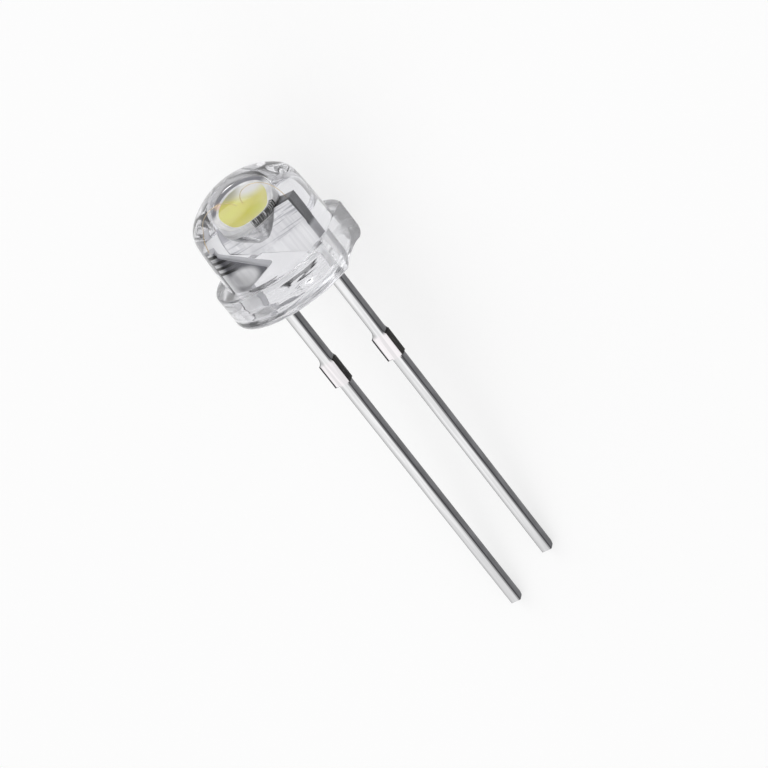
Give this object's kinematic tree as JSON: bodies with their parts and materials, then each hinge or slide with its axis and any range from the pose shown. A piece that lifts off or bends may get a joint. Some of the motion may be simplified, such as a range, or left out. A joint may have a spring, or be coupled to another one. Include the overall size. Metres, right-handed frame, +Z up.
{
  "type": "through hole led",
  "caption": "Clear epoxy lamp with a low dome on a flange, a white chip under yellow phosphor in a reflector cup, and two square leads.",
  "frame": {"origin": "the centre of the seat plane, on the optical axis, where the flange's underside would sit on a board; the lamp lies on the edge of its flange and on both lead tips, so the surface under it is about 2.87 mm below the origin", "axes": "+Z up from the surface that the lamp lies on, +X along the lamp from the lead tips towards the dome, +Y across it, from the cathode lead towards the anode lead; the optical axis rises from +X by the lamp's tilt at rest"},
  "size_m": [0.0212, 0.0055, 0.006],
  "materials": {
    "clear_epoxy": "gloss",
    "tinned_frame": "satin",
    "silver_adhesive": "matte",
    "sapphire_die": "gloss",
    "gold_wire": "polished",
    "phosphor": "satin"
  },
  "bodies": {
    "root": {"epoxy_body": "clear_epoxy", "cathode_lead": "tinned_frame", "anode_lead": "tinned_frame", "die_attach": "silver_adhesive", "led_die": "sapphire_die", "anode_wire": "gold_wire", "cathode_wire": "gold_wire", "phosphor_fill": "phosphor"}
  },
  "joints": []
}
